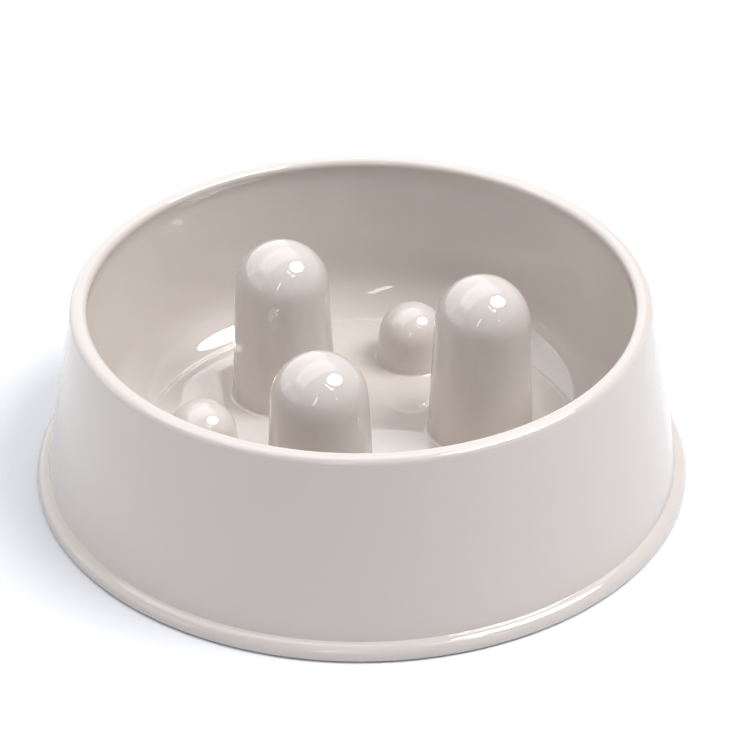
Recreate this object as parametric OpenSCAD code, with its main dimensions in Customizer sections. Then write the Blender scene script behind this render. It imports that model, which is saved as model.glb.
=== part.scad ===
// Slow feeder bowl: one glossy moulding with a flared skirt, a rounded rim, an inner
// bowl with six hollow posts on its floor, and four push-in rubber feet.
// The origin is on the table under the bowl's middle, +Z is up, sizes are millimetres.

/* [Overall] */
// Height of the rim above the table
bowl_h = 69; // [60:0.5:90]
// Diameter across the outside of the rim
rim_d = 200; // [180:1:230]
// How far the toe bead stands out past the rim
skirt_flare = 15; // [12:0.5:20]
// Gap that the rubber feet leave under the moulding
foot_stand = 0.7; // [0.4:0.1:1.4]
// Wall thickness of the moulding
wall_t = 2.5; // [2:0.1:3]

/* [Rim] */
// Width of the rim, from its outer edge to its clear opening
rim_band_w = 6; // [5.5:0.1:7.5]
// Rounding of the rim's outer edge
rim_outer_r = 2.4; // [1.5:0.1:3]
// Rounding of the rim's inner lip
lip_r = 2; // [1.6:0.1:3]
// How far the lip stands in from the line of the wall
lip_overhang = 1.5; // [0.8:0.1:1.6]
// Hollow curve under the lip, where it blends into the wall
under_lip_r = 14; // [6:0.5:24]

/* [Toe bead] */
// Radius of the quarter-round bead at the foot of the skirt
toe_r = 4; // [3:0.1:5]
// Upright edge under the bead
toe_edge_h = 0.9; // [0.4:0.1:2]
// Width of the flat ring under the bead
toe_land_w = 3.4; // [2.8:0.1:4.4]

/* [Food side] */
// Height of the food floor above the table
floor_h = 8.4; // [7:0.1:14]
// Distance from the clear opening in to the edge of the flat floor
floor_inset = 14.5; // [12:0.5:17]
// Radius of the cove between floor and wall
cove_r = 10; // [7:0.5:12]
// Depth of the fine step where the cove meets the floor
floor_step_h = 0.3; // [0.1:0.05:0.5]

/* [Tall posts] */
// Number of tall posts, with as many short ones between them
post_count = 3; // [2:1:4]
// Height of a tall post above the floor
tall_h = 61; // [40:0.5:64]
// Diameter of a tall post at the floor
tall_base_d = 37.8; // [34:0.2:40]
// Radius of a tall post's round top
tall_dome_r = 16.7; // [14:0.1:17]
// Flat floor between a tall post and the cove
tall_inset = 17.6; // [14:0.2:20]

/* [Short posts] */
// Height of a short post above the floor
short_h = 22.4; // [18:0.2:30]
// Diameter of a short post at the floor
short_base_d = 26.4; // [25.4:0.2:28]
// Radius of a short post's round top
short_dome_r = 12.3; // [10:0.1:12.6]
// Flat floor between a short post and the cove
short_inset = 9.5; // [7:0.1:12]

/* [Post walls] */
// Wall thickness of the hollow posts
post_t = 2.4; // [1.8:0.1:3]
// Fillet between a post and the floor
post_fillet_r = 1; // [0.5:0.1:1.6]

/* [Rubber feet] */
// Diameter of a foot's pad
pad_d = 12; // [9:0.5:12.5]
// Thickness of a foot's pad
pad_h = 2.2; // [2:0.1:3]
// Rounding of the pad's lower edge
pad_round_r = 0.5; // [0.2:0.1:0.8]
// Diameter of the stem that is pushed into the boss
stem_d = 6; // [4:0.2:7]
// Length of the stem
stem_l = 6.4; // [5:0.2:7.4]
// Clearance of a foot in its boss, on the radius
foot_gap = 0.1; // [0.05:0.05:0.3]
// Wall of the boss round the pad's seat
boss_t = 1.6; // [1.2:0.1:2]
// Height of a boss above the moulding's lower edge
boss_h = 10.5; // [9.5:0.5:12]

/* [Hidden] */
NODES = ["bowl", "rubber_foot_1", "rubber_foot_2", "rubber_foot_3", "rubber_foot_4"];
$fn = 180;

// overrun of every cut
cut = 1;
// how far a round is let into the straight side that it blends with
bite = 0.01;

// Lean from upright of a straight side that is tangent to a circle of radius r,
// where run leads from the circle's centre to the side's lower end
function lean(run, r) = acos(r / norm(run)) + atan2(run.y, run.x);

// radii that follow the rim: toe bead, clear opening, flat floor and circles of posts
rim_r = rim_d / 2;
foot_r = rim_r + skirt_flare;
opening_r = rim_r - rim_band_w;
floor_r = opening_r - floor_inset;
tall_circle_r = floor_r - tall_inset - tall_base_d / 2;
short_circle_r = floor_r - short_inset - short_base_d / 2;

// rim: the outer rounding and the lip share the flat top
rim_outer_c = [rim_r - rim_outer_r, bowl_h - rim_outer_r];
lip_c = [opening_r + lip_r, bowl_h - lip_r];

// toe bead, and the crease where the skirt stands on it
toe_c = [foot_r - toe_r, foot_stand + toe_edge_h];
crease = toe_c + [0, toe_r];

// skirt: a straight cone from the crease, tangent to the rim's outer rounding
skirt_lean = lean(crease - rim_outer_c, rim_outer_r);
skirt_n = [cos(skirt_lean), sin(skirt_lean)];
skirt_top = rim_outer_c + (rim_outer_r - bite) * skirt_n;

// cove and inner wall: the wall is tangent to the cove and aims behind the lip
cove_c = [floor_r, floor_h + floor_step_h + cove_r];
wall_head = [opening_r + lip_overhang, lip_c.y];
wall_lean = lean([wall_head.x - cove_c.x, cove_c.y - wall_head.y], cove_r);
wall_n = [cos(wall_lean), -sin(wall_lean)];
wall_u = [sin(wall_lean), cos(wall_lean)];
wall_low = cove_c + (cove_r - bite) * wall_n;

// the hollow curve under the lip is tangent to the wall and to the lip
lip_behind = (lip_c - wall_head) * wall_n;
under_reach = under_lip_r + lip_r - bite;
under_drop = sqrt(pow(under_reach, 2) - pow(under_lip_r + lip_behind, 2));
under_c = lip_c - (under_lip_r + lip_behind) * wall_n - under_drop * wall_u;
wall_top = under_c + (under_lip_r - bite) * wall_n;
lip_low = under_c + (lip_c - under_c) * under_lip_r / under_reach;

// hollow underside: skirt and wall keep their thickness up to where the gap is narrow
hollow_top_w = 2;
skirt_in = crease - wall_t * skirt_n;
wall_out = cove_c + (cove_r + wall_t - bite) * wall_n;
mouth_w = skirt_in.x + skirt_in.y * tan(skirt_lean) - wall_out.x + wall_out.y * tan(wall_lean);
hollow_h = (mouth_w - hollow_top_w) / (tan(skirt_lean) + tan(wall_lean));
floor_under_h = floor_h + floor_step_h - wall_t;

// bosses for the feet lean against the skirt: their outer side is in its thickness
boss_d = pad_d + 2 * foot_gap + 2 * boss_t;
boss_top_h = foot_stand + boss_h;
skirt_out_at_boss = crease.x - (boss_top_h - crease.y) * tan(skirt_lean);
foot_circle_r = (skirt_in.x + skirt_out_at_boss) / 2 - boss_d / 2;
foot_count = len(NODES) - 1;
foot_first_angle = 180 / foot_count;

// Outline of the moulding before it is hollowed out: toe bead, skirt and rim
module outer_section() {
    polygon([
        [0, foot_stand],
        [foot_r, foot_stand],
        [foot_r, toe_c.y],
        toe_c,
        crease,
        skirt_top,
        rim_outer_c,
        [rim_outer_c.x, bowl_h],
        [0, bowl_h]
    ]);
    translate(rim_outer_c) circle(r = rim_outer_r);
    intersection() {
        translate(toe_c) circle(r = toe_r);
        translate(toe_c) square(toe_r);
    }
}

// Outline of the food side: flat floor, cove, leaning wall and the curve under the lip
module food_section() {
    difference() {
        union() {
            translate([0, floor_h]) square([cove_c.x, wall_low.y - floor_h]);
            translate(cove_c) circle(r = cove_r);
            polygon([[0, wall_low.y], wall_low, wall_top, [0, wall_top.y]]);
            translate(under_c) circle(r = under_lip_r);
            polygon([
                [0, wall_top.y],
                wall_top,
                lip_low,
                lip_c,
                [lip_c.x, bowl_h + cut],
                [0, bowl_h + cut]
            ]);
        }
        translate(lip_c) circle(r = lip_r);
    }
}

// Outline of the hollow between the skirt and the underside of the inner bowl
module under_section() {
    difference() {
        polygon([
            [0, foot_stand - cut],
            [foot_r - toe_land_w, foot_stand - cut],
            [foot_r - toe_land_w, foot_stand],
            skirt_in,
            [skirt_in.x - (hollow_h - skirt_in.y) * tan(skirt_lean), hollow_h],
            [0, hollow_h]
        ]);
        translate([0, floor_under_h]) square([cove_c.x, bowl_h]);
        translate(cove_c) circle(r = cove_r + wall_t);
        polygon([
            [0, wall_out.y],
            wall_out,
            wall_out + (bowl_h - wall_out.y) / wall_u.y * wall_u,
            [0, bowl_h]
        ]);
    }
}

// Toe bead, skirt, rim, wall and floor as one even-walled shell
module shell() {
    difference() {
        rotate_extrude() outer_section();
        rotate_extrude() food_section();
        rotate_extrude() under_section();
    }
}

// Lean of a post's side, from its base to the widest part of its round top
function post_lean(height, base_r, dome_r) = atan2(base_r - dome_r, height - dome_r);

// Outside of a post that stands on height zero: a cone with a round top
module post_body(height, base_r, dome_r, below) {
    base_low_r = base_r + below * tan(post_lean(height, base_r, dome_r));
    translate([0, 0, -below])
        cylinder(h = below + height - dome_r, r1 = base_low_r, r2 = dome_r - bite);
    translate([0, 0, height - dome_r]) sphere(r = dome_r);
}

// The ring of material in the corner between a post and the floor
module post_fillet(height, base_r, dome_r) {
    side_lean = post_lean(height, base_r, dome_r);
    side_n = [cos(side_lean), sin(side_lean)];
    corner_x = base_r + post_fillet_r * (1 - side_n.y) / side_n.x;
    corner_c = [corner_x - bite, post_fillet_r - bite];
    side_end = corner_c - (post_fillet_r + bite) * side_n;
    rotate_extrude() difference() {
        polygon([
            [base_r - post_fillet_r, -post_fillet_r],
            [corner_c.x, -post_fillet_r],
            corner_c,
            side_end,
            [base_r - post_fillet_r, side_end.y]
        ]);
        translate(corner_c) circle(r = post_fillet_r);
    }
}

// Places its children on the floor, on a circle of posts
module on_circle(circle_r, first_angle) {
    for (i = [0 : post_count - 1])
        rotate(first_angle + i * 360 / post_count)
            translate([circle_r, 0, floor_h])
                children();
}

// All posts, drawn in by inset and lengthened below the floor
module posts(inset, below) {
    on_circle(tall_circle_r, 0)
        post_body(tall_h - inset, tall_base_d / 2 - inset, tall_dome_r - inset, below);
    on_circle(short_circle_r, 180 / post_count)
        post_body(short_h - inset, short_base_d / 2 - inset, short_dome_r - inset, below);
}

module post_fillets() {
    on_circle(tall_circle_r, 0) post_fillet(tall_h, tall_base_d / 2, tall_dome_r);
    on_circle(short_circle_r, 180 / post_count)
        post_fillet(short_h, short_base_d / 2, short_dome_r);
}

// Places its children on the table, under the middle of foot number i
module at_foot(i) {
    rotate(foot_first_angle + i * 360 / foot_count)
        translate([foot_circle_r, 0, 0])
            children();
}

module foot_bosses() {
    for (i = [0 : foot_count - 1])
        at_foot(i) translate([0, 0, foot_stand]) cylinder(h = boss_h, d = boss_d);
}

// In each boss: a seat for the pad and a blind hole for the stem
module foot_sockets() {
    for (i = [0 : foot_count - 1]) at_foot(i) {
        cylinder(h = pad_h, d = pad_d + 2 * foot_gap);
        cylinder(h = pad_h + stem_l + foot_gap, d = stem_d + 2 * foot_gap);
    }
}

module bowl() {
    color("#e4ddd6") difference() {
        union() {
            shell();
            posts(0, wall_t / 2);
            post_fillets();
            foot_bosses();
        }
        posts(post_t, wall_t + cut);
        foot_sockets();
    }
}

// A foot: a round pad with an eased lower edge, and the stem above it
module rubber_foot(i) {
    color("#55534f") at_foot(i) {
        rotate_extrude() {
            translate([0, pad_round_r]) square([pad_d / 2, pad_h - pad_round_r]);
            square([pad_d / 2 - pad_round_r, pad_h]);
            translate([pad_d / 2 - pad_round_r, pad_round_r]) circle(r = pad_round_r);
        }
        translate([0, 0, pad_h]) cylinder(h = stem_l, d = stem_d);
    }
}

bowl();
rubber_foot(0);  // rubber_foot_1
rubber_foot(1);  // rubber_foot_2
rubber_foot(2);  // rubber_foot_3
rubber_foot(3);  // rubber_foot_4
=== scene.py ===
import math
from types import SimpleNamespace

import bmesh
import bpy
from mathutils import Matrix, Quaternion, Vector


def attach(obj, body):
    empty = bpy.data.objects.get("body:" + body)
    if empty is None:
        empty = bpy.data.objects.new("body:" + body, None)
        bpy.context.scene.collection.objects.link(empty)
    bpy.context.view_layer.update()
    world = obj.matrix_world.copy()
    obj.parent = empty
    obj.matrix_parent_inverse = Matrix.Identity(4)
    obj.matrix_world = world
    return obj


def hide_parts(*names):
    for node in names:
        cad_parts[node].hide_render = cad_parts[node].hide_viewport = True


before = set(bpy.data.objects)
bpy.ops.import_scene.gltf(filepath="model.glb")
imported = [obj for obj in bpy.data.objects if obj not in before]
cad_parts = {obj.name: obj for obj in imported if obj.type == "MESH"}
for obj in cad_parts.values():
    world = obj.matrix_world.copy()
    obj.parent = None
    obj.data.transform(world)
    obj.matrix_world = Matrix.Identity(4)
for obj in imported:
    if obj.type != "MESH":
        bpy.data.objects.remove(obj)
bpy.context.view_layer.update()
mm = 0.001


# small tools, used by everything below
def linear(hexColour):  # sRGB hex to the linear colour that Blender wants
    parts = [int(hexColour[i : i + 2], 16) / 255 for i in (1, 3, 5)]
    return [c / 12.92 if c <= 0.04045 else ((c + 0.055) / 1.055) ** 2.4 for c in parts] + [1]


def addNode(tree, kind, feeds=None, **settings):  # a node with its settings, values and links
    node = tree.nodes.new(kind)
    for name, value in settings.items():
        setattr(node, name, value)
    for socket, value in (feeds or {}).items():
        if isinstance(value, bpy.types.NodeSocket):
            tree.links.new(value, node.inputs[socket])
        else:
            node.inputs[socket].default_value = value
    return node


def newMaterial(name):
    material = bpy.data.materials.new(name)
    material.use_nodes = True
    material.node_tree.nodes.clear()
    return material, material.node_tree


def addObject(name, data):
    thing = bpy.data.objects.new(name, data)
    bpy.context.scene.collection.objects.link(thing)
    return thing


# materials
plasticLook = {
    "colour": "#cdc5bf",  # warm off-white
    "ior": 1.54,
    "roughness": 0.012,  # from a polished steel mould
    "scuffedRoughness": 0.032,
    "scuffSpacing": 2.2 * mm,
    "peelWave": 9 * mm,  # faint waves that cooling leaves in a flat gloss surface
    "peelHeight": 0.004 * mm,
}


def makeGlossAbs(look):
    # ABS, injection moulded in a polished mould: hard, even gloss over a solid colour. The
    # faint waves and handling marks keep the long reflections from being perfect.
    material, tree = newMaterial("glossMouldedAbs")
    place = addNode(tree, "ShaderNodeTexCoord").outputs["Object"]
    waves = addNode(tree, "ShaderNodeTexNoise", {
        "Vector": place, "Scale": 1 / look["peelWave"], "Detail": 1.5, "Roughness": 0.4})
    peel = addNode(tree, "ShaderNodeBump", {
        "Height": waves.outputs["Fac"], "Strength": 1, "Distance": look["peelHeight"]})
    scuffs = addNode(tree, "ShaderNodeTexNoise", {
        "Vector": place, "Scale": 1 / look["scuffSpacing"], "Detail": 4, "Roughness": 0.6})
    gloss = addNode(tree, "ShaderNodeMapRange", {
        "Value": scuffs.outputs["Fac"], "From Min": 0.3, "From Max": 0.75,
        "To Min": look["roughness"], "To Max": look["scuffedRoughness"]})
    shader = addNode(tree, "ShaderNodeBsdfPrincipled", {
        "Base Color": linear(look["colour"]), "IOR": look["ior"],
        "Roughness": gloss.outputs["Result"], "Normal": peel.outputs["Normal"]})
    addNode(tree, "ShaderNodeOutputMaterial", {"Surface": shader.outputs["BSDF"]})
    return material


rubberLook = {
    "colour": "#4a4845",  # dark grey
    "roughness": 0.72,
    "grain": 0.35 * mm,  # coarser than the mould's own grain, so that it shows
    "grainDepth": 0.03 * mm,
}


def makeSoftRubber(look):
    # thermoplastic rubber, moulded against a spark-eroded face: dry and matt, with a fine
    # even grain that breaks up the light
    material, tree = newMaterial("mattMouldedRubber")
    place = addNode(tree, "ShaderNodeTexCoord").outputs["Object"]
    grain = addNode(tree, "ShaderNodeTexNoise", {
        "Vector": place, "Scale": 1 / look["grain"], "Detail": 2})
    bump = addNode(tree, "ShaderNodeBump", {
        "Height": grain.outputs["Fac"], "Strength": 0.6, "Distance": look["grainDepth"]})
    shader = addNode(tree, "ShaderNodeBsdfPrincipled", {
        "Base Color": linear(look["colour"]), "Roughness": look["roughness"],
        "Normal": bump.outputs["Normal"]})
    addNode(tree, "ShaderNodeOutputMaterial", {"Surface": shader.outputs["BSDF"]})
    return material


glossAbs = makeGlossAbs(plasticLook)
softRubber = makeSoftRubber(rubberLook)
print("materials: gloss ABS and matt rubber")


# Outlines are lists of points, as distance from the axis and height in millimetres. In the
# functions, s is the dictionary of one piece.
detail = {
    "usual": 5, "cove": 3, "rim": 9, "bead": 6,  # steps of an arc, in degrees
    "crease": 20, "corner": 8, "smallCorner": 22,
    "smallRadius": 1,  # corners up to this radius, in millimetres, are small
    "endReach": 0.4,  # from each end of a long side to the extra point that keeps it straight
    "samePoint": 1e-4,  # points nearer than this are one
}


def lean(run, radius):
    # how far a side that is tangent to a round leans from upright; run goes from the round's
    # centre to the side's other end
    return math.acos(radius / run.length) + math.atan2(run.y, run.x)


def along(angle):
    return Vector((math.cos(angle), math.sin(angle)))


def arc(centre, radius, start, end, step=detail["usual"]):  # start and end are in radians
    count = max(2, math.ceil(abs(math.degrees(end - start)) / step))
    return [centre + radius * along(start + (end - start) * i / count) for i in range(count + 1)]


def rounded(corners):  # a line through (x, y, rounding) corners, each turned into an arc
    points = []
    for i, (x, y, radius) in enumerate(corners):
        here = Vector((x, y))
        if not radius:
            points.append(here)
            continue
        back = (Vector(corners[i - 1][:2]) - here).normalized()
        on = (Vector(corners[i + 1][:2]) - here).normalized()
        half = back.angle(on) / 2
        centre = here + (back + on).normalized() * radius / math.sin(half)
        first = here + back * radius / math.tan(half) - centre
        turn = first.angle_signed(here + on * radius / math.tan(half) - centre)
        start = math.atan2(first.y, first.x)
        step = detail["corner" if radius > detail["smallRadius"] else "smallCorner"]
        points += arc(centre, radius, start, start - turn, step)
    return points


def held(points):  # extra points near the ends of long sides keep their shading straight
    reach = detail["endReach"]
    kept = [points[0]]
    for here in points[1:]:
        side = here - kept[-1]
        if side.length < detail["samePoint"]:
            continue
        if side.length > 4 * reach:
            kept += [kept[-1] + side.normalized() * reach, here - side.normalized() * reach]
        kept.append(here)
    return kept


bowlSizes = {
    "height": 69, "wall": 2.5,
    "rimRadius": 100, "rimBand": 6,  # outer edge of the rim, and its width to the opening
    "flare": 15,  # how far the toe bead stands out from the rim
    "standOff": 0.7,  # gap under the toe bead
    "rimRounding": 2.4, "lipRounding": 2,
    "lipOverhang": 1.5,  # how far the lip stands in from the wall
    "underLipCurve": 14,  # hollow curve from the wall in under the lip
    "beadRounding": 4, "beadEdge": 0.9, "beadLand": 3.4,  # bead, its upright edge, its sole
    "creaseRounding": 0.3,  # fillet between skirt and toe bead
    "floorHeight": 8.4, "floorInset": 14.5,
    "cove": 10,  # sets where the wall stands and how the underside curves
    "floorStep": 0.3, "stepRounding": 1.3, "creaseInset": 1.5,  # the fine step round the floor
    "coveStart": 2.5,  # radius of the small curve out of the step
    "coveTilt": 30,  # slope at which the wide curve takes over from it
    "hollowTop": 2,  # width of the roof between skirt and inner bowl
    "skirtInsideRounding": 1.5, "hollowRounding": 0.7, "edgeRounding": 0.25,
    "plateMargin": 1.2,  # from the flat face of the floor to the step
    "stepLead": 0.05,  # an extra point this close to the step keeps the floor's shading flat
    "turns": 324,
}


def floorRadius(s):
    return s["rimRadius"] - s["rimBand"] - s["floorInset"]


def creaseRadius(s):  # the top of the fine step, where the cove begins
    return floorRadius(s) - s["creaseInset"]


def stepTurn(s):  # how far round its arc the step climbs
    return math.acos(1 - s["floorStep"] / s["stepRounding"])


def stepFoot(s):  # where the flat floor ends
    return creaseRadius(s) - s["stepRounding"] * math.sin(stepTurn(s))


def plateRadius(s):
    return stepFoot(s) - s["plateMargin"]


def floorUnder(s):
    return s["floorHeight"] + s["floorStep"] - s["wall"]


def bowlForm(s):  # centres, leans and directions that the stretches of the outline share
    form = SimpleNamespace()
    opening = s["rimRadius"] - s["rimBand"]
    form.outside = s["rimRadius"] + s["flare"]
    form.rim = Vector((s["rimRadius"] - s["rimRounding"], s["height"] - s["rimRounding"]))
    form.lip = Vector((opening + s["lipRounding"], s["height"] - s["lipRounding"]))
    form.bead = Vector((form.outside - s["beadRounding"], s["standOff"] + s["beadEdge"]))
    form.skirtFoot = form.bead + Vector((0, s["beadRounding"]))
    form.skirtLean = lean(form.skirtFoot - form.rim, s["rimRounding"])
    form.skirtOut, form.skirtUp = along(form.skirtLean), along(form.skirtLean + math.pi / 2)
    form.cove = Vector((floorRadius(s), s["floorHeight"] + s["floorStep"] + s["cove"]))
    form.wallHead = Vector((opening + s["lipOverhang"], form.lip.y))
    run = Vector((form.wallHead.x - form.cove.x, form.cove.y - form.wallHead.y))
    form.wallLean = lean(run, s["cove"])
    form.wallOut, form.wallUp = along(-form.wallLean), along(math.pi / 2 - form.wallLean)
    return form


def foodSide(s, form):  # from the edge of the floor up to the rim
    # the flat and the fine step, which is level again where the cove begins
    low, quarter = s["floorHeight"], math.pi / 2
    crease = Vector((creaseRadius(s), low + s["floorStep"]))
    stepCentre = crease - Vector((0, s["stepRounding"]))
    points = [Vector((plateRadius(s), low)), Vector((stepFoot(s) - s["stepLead"], low))]
    points += arc(stepCentre, s["stepRounding"], quarter + stepTurn(s), quarter)

    # the cove: a small curve out of the crease, then a wide one that runs into the wall
    tilt = math.radians(s["coveTilt"])
    startCentre = crease + Vector((0, s["coveStart"]))
    points += arc(startCentre, s["coveStart"], -quarter, tilt - quarter)
    toWall = (form.cove - points[-1]).dot(form.wallOut) + s["cove"]
    wide = toWall / (1 - math.sin(tilt + form.wallLean))
    wideCentre = points[-1] - wide * along(tilt - quarter)
    points += arc(wideCentre, wide, tilt - quarter, -form.wallLean, detail["cove"])

    # the wall, the hollow curve under the lip, and the lip
    hollow = s["underLipCurve"]
    across = hollow + (form.lip - form.wallHead).dot(form.wallOut)
    down = math.sqrt((hollow + s["lipRounding"]) ** 2 - across**2)
    hollowCentre = form.lip - across * form.wallOut - down * form.wallUp
    toLip = form.lip - hollowCentre
    lipAngle = math.atan2(toLip.y, toLip.x)
    points += arc(hollowCentre, hollow, -form.wallLean, lipAngle)
    return points + arc(form.lip, s["lipRounding"], math.pi + lipAngle, quarter, detail["rim"])


def outerSide(s, form):  # the rim, the skirt, a fine fillet and the toe bead
    points = arc(form.rim, s["rimRounding"], math.pi / 2, form.skirtLean, detail["rim"])
    small, large = s["creaseRounding"], s["beadRounding"]
    up = Vector((0, large)) + small * form.skirtOut
    rise = up.dot(form.skirtUp)
    climb = math.sqrt(rise**2 - up.length_squared + (large + small) ** 2) - rise
    fillet = form.bead + up + climb * form.skirtUp
    beadTop = math.atan2(fillet.y - form.bead.y, fillet.x - form.bead.x)
    first, last = math.pi + form.skirtLean, math.pi + beadTop
    points += arc(fillet, small, first, last, detail["crease"])
    return points + arc(form.bead, large, beadTop, 0, detail["bead"])


def underSide(s, form):  # the land, a slope, and the hollow between skirt and inner bowl
    skirtIn = form.skirtFoot - s["wall"] * form.skirtOut
    wallBack = form.cove + (s["cove"] + s["wall"]) * form.wallOut
    skirtSlope, wallSlope = math.tan(form.skirtLean), math.tan(form.wallLean)
    mouth = skirtIn.x + skirtIn.y * skirtSlope - wallBack.x + wallBack.y * wallSlope
    roof = (mouth - s["hollowTop"]) / (skirtSlope + wallSlope)
    roofX = skirtIn.x - (roof - skirtIn.y) * skirtSlope
    backX = wallBack.x - (wallBack.y - floorUnder(s)) * wallSlope
    edge = s["edgeRounding"]
    return rounded([
        (form.outside, form.bead.y, 0), (form.outside, s["standOff"], edge),
        (form.outside - s["beadLand"], s["standOff"], edge),
        (skirtIn.x, skirtIn.y, s["skirtInsideRounding"]),
        (roofX, roof, s["hollowRounding"]), (roofX - s["hollowTop"], roof, s["hollowRounding"]),
        (backX, floorUnder(s), s["cove"] + s["wall"]), (plateRadius(s), floorUnder(s), 0)])


def bowlOutline(s):  # from the edge of the floor over the rim and down to the floor's underside
    form = bowlForm(s)
    return held(foodSide(s, form) + outerSide(s, form) + underSide(s, form))


# a post brings a flat ring of floor with it, as wide as its margin
tallPost = {
    "count": 3, "height": 61, "baseRadius": 18.9, "domeRadius": 16.7, "wall": 2.4,
    "fillet": 1, "margin": 1.6, "insideFillet": 0.4, "insideMargin": 1.2,
    "circleRadius": 43, "firstAngle": 0, "turns": 120,
}
shortPost = {
    "count": 3, "height": 22.4, "baseRadius": 13.2, "domeRadius": 12.3, "wall": 2.4,
    "fillet": 1, "margin": 1.6, "insideFillet": 0.4, "insideMargin": 1.2,
    "circleRadius": 56.8, "firstAngle": 60, "turns": 96,
}


def postSide(s, inset, foot, rounding, margin):  # outside, or hollow inside, from foot to dome
    dome = Vector((0, s["height"] - s["domeRadius"]))
    radius = s["domeRadius"] - inset
    side = lean(Vector((s["baseRadius"] - inset, -dome.y)), radius)
    head = dome + radius * along(side)
    footX = head.x + (head.y - foot) * math.tan(side)
    line = rounded([(footX + margin, foot, 0), (footX, foot, rounding), (*head, 0)])
    return held(line + arc(dome, radius, side, math.pi / 2))


# the feet, and the bosses that hold them
footSizes = {
    "count": 4, "circleRadius": 101.567, "firstAngle": 45, "padRadius": 6, "padHeight": 2.2,
    "stemRadius": 3, "stemLength": 6.4, "gap": 0.1, "bossWall": 1.6, "bossHeight": 10.5,
    "edge": 0.2, "turns": 64,
}


def bossOutline(s, standOff):  # closed from pole to pole: stem hole, pad seat, boss, top
    stem, seat = s["stemRadius"] + s["gap"], s["padRadius"] + s["gap"]
    hole, top = s["padHeight"] + s["stemLength"] + s["gap"], standOff + s["bossHeight"]
    outer, edge = seat + s["bossWall"], s["edge"]
    return held(rounded([
        (0, hole, 0), (stem, hole, edge), (stem, s["padHeight"], edge),
        (seat, s["padHeight"], edge), (seat, standOff, edge), (outer, standOff, edge),
        (outer, top, 2 * edge), (0, top, 0)]))


# geometry nodes
weldDistance = 0.002 * mm  # corners nearer than this become one


def newTree(name, inputs):
    tree = bpy.data.node_groups.new(name, "GeometryNodeTree")
    tree.is_modifier = True
    for label, kind in inputs.items():
        tree.interface.new_socket(label, in_out="INPUT", socket_type="NodeSocket" + kind)
    tree.interface.new_socket("Result", in_out="OUTPUT", socket_type="NodeSocketGeometry")
    return tree, addNode(tree, "NodeGroupInput").outputs


def endTree(tree, geometry, material):
    real = addNode(tree, "GeometryNodeRealizeInstances", {"Geometry": geometry})
    painted = addNode(tree, "GeometryNodeSetMaterial", {
        "Geometry": real.outputs["Geometry"], "Material": material})
    addNode(tree, "NodeGroupOutput", {"Result": painted.outputs["Geometry"]})


def makeTurningTree():  # turns an outline round the Z axis, as on a lathe
    tree, given = newTree("turnedForm", {
        "Outline": "Geometry", "Turns": "Int", "Material": "Material"})
    rows = addNode(tree, "GeometryNodeAttributeDomainSize", {
        "Geometry": given["Outline"]}, component="MESH").outputs["Point Count"]
    columns = addNode(tree, "FunctionNodeIntegerMath", {
        0: given["Turns"], 1: 1}, operation="ADD").outputs[0]
    grid = addNode(tree, "GeometryNodeMeshGrid", {"Vertices X": rows, "Vertices Y": columns})
    index = addNode(tree, "GeometryNodeInputIndex").outputs["Index"]
    row = addNode(tree, "FunctionNodeIntegerMath", {0: index, 1: columns}, operation="DIVIDE")
    turn = addNode(tree, "FunctionNodeIntegerMath", {0: index, 1: columns}, operation="MODULO")
    share = addNode(tree, "ShaderNodeMath", {
        0: turn.outputs[0], 1: given["Turns"]}, operation="DIVIDE")
    angle = addNode(tree, "ShaderNodeMath", {
        0: share.outputs[0], 1: math.tau}, operation="MULTIPLY")
    here = addNode(tree, "GeometryNodeInputPosition").outputs["Position"]
    point = addNode(tree, "GeometryNodeSampleIndex", {
        "Geometry": given["Outline"], "Value": here, "Index": row.outputs[0]},
        data_type="FLOAT_VECTOR", domain="POINT")
    spun = addNode(tree, "ShaderNodeVectorRotate", {
        "Vector": point.outputs["Value"], "Angle": angle.outputs[0]}, rotation_type="Z_AXIS")
    shaped = addNode(tree, "GeometryNodeSetPosition", {
        "Geometry": grid.outputs["Mesh"], "Position": spun.outputs["Vector"]})
    closed = addNode(tree, "GeometryNodeMergeByDistance", {
        "Geometry": shaped.outputs["Geometry"], "Distance": weldDistance})
    endTree(tree, closed.outputs["Geometry"], given["Material"])
    return tree


def makeRingTree():  # sets copies of a form on a circle
    tree, given = newTree("formsOnCircle", {
        "Form": "Geometry", "Count": "Int", "Circle Radius": "Float", "First Angle": "Float",
        "Height": "Float", "Material": "Material"})
    index = addNode(tree, "GeometryNodeInputIndex").outputs["Index"]
    share = addNode(tree, "ShaderNodeMath", {0: index, 1: given["Count"]}, operation="DIVIDE")
    angle = addNode(tree, "ShaderNodeMath", {
        0: share.outputs[0], 1: math.tau, 2: given["First Angle"]}, operation="MULTIPLY_ADD")
    across = addNode(tree, "ShaderNodeCombineXYZ", {
        "X": given["Circle Radius"], "Z": given["Height"]})
    place = addNode(tree, "ShaderNodeVectorRotate", {
        "Vector": across.outputs["Vector"], "Angle": angle.outputs[0]}, rotation_type="Z_AXIS")
    spots = addNode(tree, "GeometryNodePoints", {
        "Count": given["Count"], "Position": place.outputs["Vector"]})
    copies = addNode(tree, "GeometryNodeInstanceOnPoints", {
        "Points": spots.outputs["Points"], "Instance": given["Form"]})
    endTree(tree, copies.outputs["Instances"], given["Material"])
    return tree


def grown(tree, source, values):  # what a tree makes of a mesh, as a plain mesh
    thing = addObject("source", source)
    modifier = thing.modifiers.new("grow", "NODES")
    modifier.node_group = tree
    for item in tree.interface.items_tree:
        if item.in_out == "INPUT" and item.name in values:
            modifier[item.identifier] = values[item.name]
    graph = bpy.context.evaluated_depsgraph_get()
    mesh = bpy.data.meshes.new_from_object(thing.evaluated_get(graph))
    bpy.data.objects.remove(thing)
    return mesh


turningTree, ringTree = makeTurningTree(), makeRingTree()


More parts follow.
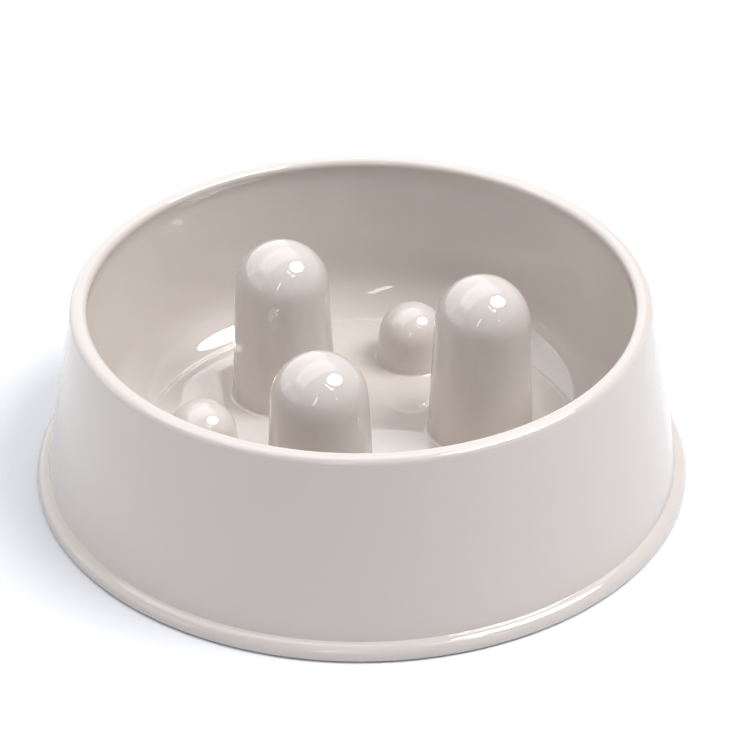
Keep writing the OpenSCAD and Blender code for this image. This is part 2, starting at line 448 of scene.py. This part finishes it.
def turned(outline, turns):
    mesh = bpy.data.meshes.new("outline")
    spots = [(p.x * mm, 0, p.y * mm) for p in outline]
    mesh.from_pydata(spots, [(i, i + 1) for i in range(len(spots) - 1)], [])
    return grown(turningTree, mesh, {"Turns": turns, "Material": glossAbs})


def onCircle(outline, s, height):
    return grown(ringTree, turned(outline, s["turns"]), {
        "Count": s["count"], "Circle Radius": s["circleRadius"] * mm, "Height": height * mm,
        "First Angle": math.radians(s["firstAngle"]), "Material": glossAbs})


# the bowl: one moulding of the turned outline, the posts, two flat floor faces and the bosses
def circleOf(bm, x, y, radius, height, turns):
    verts = []
    for i in range(turns):
        angle = math.tau * i / turns
        across, deep = x + radius * math.cos(angle), y + radius * math.sin(angle)
        verts.append(bm.verts.new((across * mm, deep * mm, height * mm)))
    return [bm.edges.new((verts[i - 1], verts[i])) for i in range(turns)]


def addPlate(bm, s, height, holes):  # flat floor face with a round hole for each post
    edges = circleOf(bm, 0, 0, plateRadius(s), height, s["turns"])
    for post, radius in holes:
        for i in range(post["count"]):
            angle = math.radians(post["firstAngle"]) + math.tau * i / post["count"]
            x, y = post["circleRadius"] * along(angle)
            edges += circleOf(bm, x, y, radius, height, post["turns"])
    bmesh.ops.triangle_fill(bm, use_beauty=True, use_dissolve=False, edges=edges)


def makeBowl(s):
    bm = bmesh.new()
    top, below = s["floorHeight"], floorUnder(s)
    bm.from_mesh(turned(bowlOutline(s), s["turns"]))
    holesAbove, holesBelow = [], []
    for post in (tallPost, shortPost):
        outside = postSide(post, 0, 0, post["fillet"], post["margin"])
        inside = postSide(
            post, post["wall"], below - top, post["insideFillet"], post["insideMargin"])
        bm.from_mesh(onCircle(outside, post, top))
        bm.from_mesh(onCircle(inside, post, top))
        holesAbove.append((post, outside[0].x))
        holesBelow.append((post, inside[0].x))
    addPlate(bm, s, top, holesAbove)
    addPlate(bm, s, below, holesBelow)
    bmesh.ops.remove_doubles(bm, verts=bm.verts, dist=weldDistance)
    bm.from_mesh(onCircle(bossOutline(footSizes, s["standOff"]), footSizes, 0))
    bmesh.ops.recalc_face_normals(bm, faces=bm.faces)
    openEdges = sum(len(edge.link_faces) != 2 for edge in bm.edges)
    for face in bm.faces:
        face.smooth = True
        face.material_index = 0
    mesh = bpy.data.meshes.new("bowlMoulding")
    bm.to_mesh(mesh)
    bm.free()
    mesh.materials.append(glossAbs)
    print("bowl:", len(mesh.polygons), "faces,", openEdges, "open edges")
    return addObject("bowlMoulding", mesh)


moulding = makeBowl(bowlSizes)
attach(moulding, "root")
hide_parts("bowl")

for name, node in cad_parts.items():  # the feet are shown as they were built
    if name.startswith("rubber_foot"):
        for slot in node.material_slots:
            slot.material = softRubber
print("feet: rubber on", footSizes["count"])


# table, surround, lamps and camera
stageLook = {
    "table": "#eef0f4",
    "tableSize": 8,  # metres across
    "fadeStart": 0.75,  # metres from the middle, where it begins to give way to the backdrop
    "fadeEnd": 1.4,
    "fill": "#f3f6ff",
    "fillStrength": 0.33,
    "backdrop": 1,
}


def makeTable(look):
    # matt white card: it keeps the soft shadow and the dark line under the bowl
    material, tree = newMaterial("mattWhiteCard")
    card = addNode(tree, "ShaderNodeBsdfDiffuse", {"Color": linear(look["table"])})
    clear = addNode(tree, "ShaderNodeBsdfTransparent")  # from below, the table isn't in the way
    below = addNode(tree, "ShaderNodeNewGeometry").outputs["Backfacing"]
    place = addNode(tree, "ShaderNodeTexCoord").outputs["Object"]
    far = addNode(tree, "ShaderNodeVectorMath", {0: place}, operation="LENGTH")
    fade = addNode(tree, "ShaderNodeMapRange", {  # far out, it gives way to the backdrop
        "Value": far.outputs["Value"], "From Min": look["fadeStart"],
        "From Max": look["fadeEnd"]})
    gone = addNode(tree, "ShaderNodeMath", {
        0: below, 1: fade.outputs["Result"]}, operation="MAXIMUM")
    both = addNode(tree, "ShaderNodeMixShader", {
        0: gone.outputs[0], 1: card.outputs[0], 2: clear.outputs[0]})
    addNode(tree, "ShaderNodeOutputMaterial", {"Surface": both.outputs[0]})
    half = look["tableSize"] / 2
    corners = [(-half, -half, 0), (half, -half, 0), (half, half, 0), (-half, half, 0)]
    mesh = bpy.data.meshes.new("tableTop")
    mesh.from_pydata(corners, [], [(0, 1, 2, 3)])
    mesh.materials.append(material)
    addObject("tableTop", mesh)


def makeSurround(look):
    # a white backdrop for the camera and the gloss, and a weak cool fill as light
    world = bpy.data.worlds.new("studio")
    bpy.context.scene.world = world
    world.use_nodes = True
    tree = world.node_tree
    tree.nodes.clear()
    rays = addNode(tree, "ShaderNodeLightPath").outputs
    straight = addNode(tree, "ShaderNodeMath", {
        0: rays["Is Camera Ray"], 1: rays["Is Glossy Ray"]}, operation="MAXIMUM")
    seen = addNode(tree, "ShaderNodeMath", {
        0: straight.outputs[0], 1: rays["Is Transmission Ray"]}, operation="MAXIMUM")
    fill = addNode(tree, "ShaderNodeBackground", {
        "Color": linear(look["fill"]), "Strength": look["fillStrength"]})
    backdrop = addNode(tree, "ShaderNodeBackground", {
        "Color": [1, 1, 1, 1], "Strength": look["backdrop"]})
    both = addNode(tree, "ShaderNodeMixShader", {
        0: seen.outputs[0], 1: fill.outputs[0], 2: backdrop.outputs[0]})
    addNode(tree, "ShaderNodeOutputWorld", {"Surface": both.outputs[0]})


# Azimuth runs from +X towards +Y, angles are in degrees, distance and size in metres. A lamp
# faces the bowl, spun by its turn, or hangs level and is swung round by its level.
lamps = {
    # the main light, high at the right, and one in the same place for the gloss alone
    "keySoftbox": {"azimuth": -15, "elevation": 58.6, "distance": 2.2, "size": (1.37, 1.0),
                   "shape": "ELLIPSE", "brightness": 10.9, "turn": -45},
    "keyGlint": {"azimuth": -15, "elevation": 58.6, "distance": 2.21, "size": (1.37, 1.0),
                 "shape": "ELLIPSE", "brightness": 16, "turn": -45, "diffuse": False},

    # small lamps in front, which only the gloss shows
    "smallLamp": {"azimuth": -55.2, "elevation": 51, "distance": 1.2, "size": (0.12, 0.1),
                  "shape": "ELLIPSE", "brightness": 22, "diffuse": False},
    "smallLampEdge": {"azimuth": -64, "elevation": 60, "distance": 1.25, "size": (0.07, 0.4),
                      "shape": "ELLIPSE", "brightness": 8, "turn": 19, "diffuse": False},
    "stripLamp": {"azimuth": -110.5, "elevation": 31, "distance": 1.2, "size": (0.07, 0.42),
                  "shape": "RECTANGLE", "brightness": 7, "turn": -25, "diffuse": False},
    "faintLamp": {"azimuth": -56.5, "elevation": 28, "distance": 1.2, "size": (0.11, 0.1),
                  "shape": "ELLIPSE", "brightness": 5, "diffuse": False},

    # broad panels: two over and behind the bowl, one high in front, one at the left, and a
    # wider and weaker one just above the first two
    "ceilingPanel": {"azimuth": 115, "elevation": 79.9, "distance": 1.42, "size": (2.4, 0.5),
                     "shape": "RECTANGLE", "brightness": 1.55, "level": 25},
    "middlePanel": {"azimuth": 115, "elevation": 60.3, "distance": 1.61, "size": (2.4, 0.6),
                    "shape": "RECTANGLE", "brightness": 1.75, "level": 25},
    "frontHighPanel": {"azimuth": 258, "elevation": 62, "distance": 1.5, "size": (1.73, 0.95),
                       "shape": "RECTANGLE", "brightness": 0.32, "glossy": False},
    "leftPanel": {"azimuth": 180, "elevation": 16, "distance": 1.5, "size": (1.4, 0.8),
                  "shape": "RECTANGLE", "brightness": 1.0},
    "ceilingGlow": {"azimuth": 115, "elevation": 74, "distance": 1.46, "size": (3.4, 0.8),
                    "shape": "RECTANGLE", "brightness": 0.6, "level": 25, "diffuse": False},

    # one under the table for views from below, and a pale flat far behind, for the gloss
    "underLamp": {"azimuth": 0, "elevation": -90, "distance": 0.3, "size": (0.184, 0.184),
                  "shape": "ELLIPSE", "brightness": 0.5, "glossy": False, "spread": 5},
    "whiteFlat": {"azimuth": 118, "elevation": 30, "distance": 2.3, "size": (4.0, 2.8),
                  "shape": "RECTANGLE", "brightness": 1.2, "diffuse": False},
}


def addLamp(name, s):
    light = bpy.data.lights.new(name, "AREA")
    light.shape = s["shape"]
    light.size, light.size_y = s["size"]
    area = light.size * light.size_y * (1 if s["shape"] == "RECTANGLE" else math.pi / 4)
    light.energy = s["brightness"] * math.pi * area
    lamp = addObject(name, light)
    azimuth, elevation = math.radians(s["azimuth"]), math.radians(s["elevation"])
    out = Vector((math.cos(elevation) * math.cos(azimuth),
                  math.cos(elevation) * math.sin(azimuth), math.sin(elevation)))
    lamp.location = out * s["distance"]
    lamp.rotation_mode = "QUATERNION"
    if "level" in s:
        lamp.rotation_quaternion = Quaternion((0, 0, 1), math.radians(s["level"]))
    else:
        aim = (-out).to_track_quat("-Z", "Y")
        lamp.rotation_quaternion = aim @ Quaternion((0, 0, 1), math.radians(s.get("turn", 0)))
    lamp.visible_camera = False
    lamp.visible_diffuse = s.get("diffuse", True)
    lamp.visible_glossy = s.get("glossy", True)
    if "spread" in s:  # a narrow beam through the table, which shows the underside alone
        light.spread = math.radians(s["spread"])
        lit = bpy.data.collections.new("litFromBelow")
        for thing in [moulding, *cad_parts.values()]:
            lit.objects.link(thing)
        lamp.light_linking.receiver_collection = lit
        lamp.light_linking.blocker_collection = lit


cameraSetup = {
    "place": (-156.0, -817.7, 582.6), "target": (1.71, -15.53, 45.65), "roll": -0.09,
    "lens": 136.8, "sensor": 36, "near": 0.01, "far": 50,
}


def makeCamera(s):
    data = bpy.data.cameras.new("camera")
    data.sensor_width, data.lens = s["sensor"], s["lens"]
    data.clip_start, data.clip_end = s["near"], s["far"]
    camera = addObject("camera", data)
    place, target = Vector(s["place"]) * mm, Vector(s["target"]) * mm
    aim = (target - place).to_track_quat("-Z", "Y")
    camera.location = place
    camera.rotation_mode = "QUATERNION"
    camera.rotation_quaternion = aim @ Quaternion((0, 0, 1), math.radians(s["roll"]))
    bpy.context.scene.camera = camera


makeTable(stageLook)
makeSurround(stageLook)
for name, lamp in lamps.items():
    addLamp(name, lamp)
makeCamera(cameraSetup)
bpy.context.scene.view_settings.view_transform = "Standard"
print("studio:", len(lamps), "lamps")
